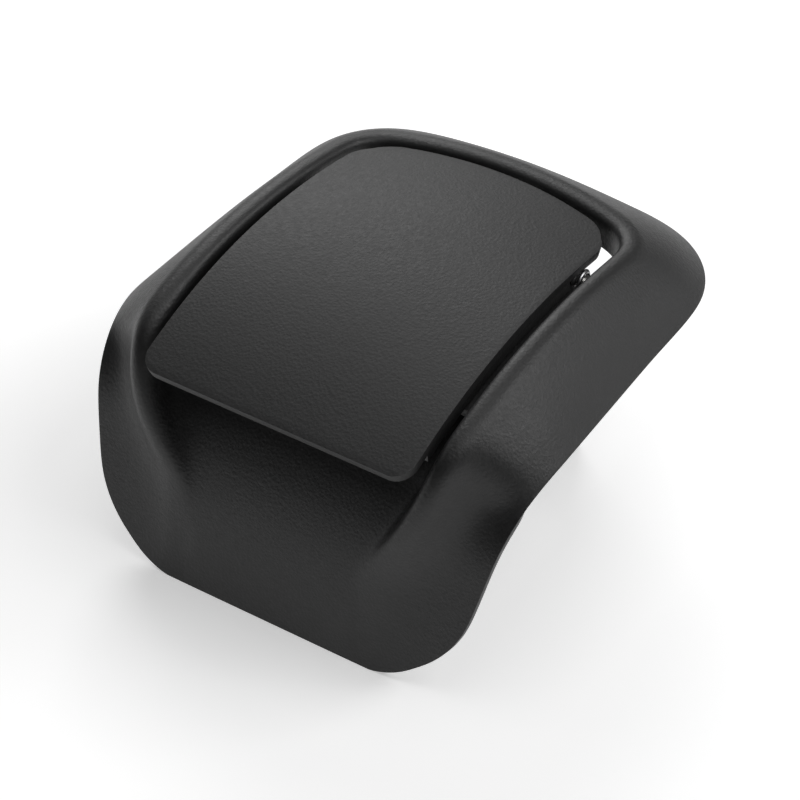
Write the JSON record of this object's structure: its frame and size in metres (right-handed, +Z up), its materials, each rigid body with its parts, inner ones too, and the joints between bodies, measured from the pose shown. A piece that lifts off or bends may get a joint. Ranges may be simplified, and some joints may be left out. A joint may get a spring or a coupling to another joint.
{
  "type": "seat tilt handle",
  "caption": "Seat tilt handle: a saddle-shaped plastic housing that wraps over a seat's edge, with a sprung arched flap lifted by the fingers.",
  "frame": {"origin": "middle of the base of the overall box, level with the lip's foot and the legs' feet", "axes": "+X to the handle's right as seen from in front, +Y back from the finger lip to the hinge, +Z up"},
  "size_m": [0.0968, 0.1058, 0.0592],
  "materials": {
    "housing_plastic": "fine moulded grain",
    "flap_plastic": "fine moulded grain",
    "pin_steel": "bright drawn steel",
    "spring_steel": "drawn spring wire"
  },
  "bodies": {
    "housing_body": {"housing": "housing_plastic", "hinge_pin": "pin_steel", "return_spring": "spring_steel"},
    "flap_body": {"flap": "flap_plastic"}
  },
  "joints": [
    {"name": "flap_hinge", "type": "hinge", "parent": "housing_body", "child": "flap_body", "pos_m": [0, 0.01509, 0.05086], "axis": [-1, 0, 0], "range_deg": [0, 28], "stiffness_Nm_per_rad": 0.03, "springref_deg": -40.11, "deforming": ["return_spring"]}
  ]
}
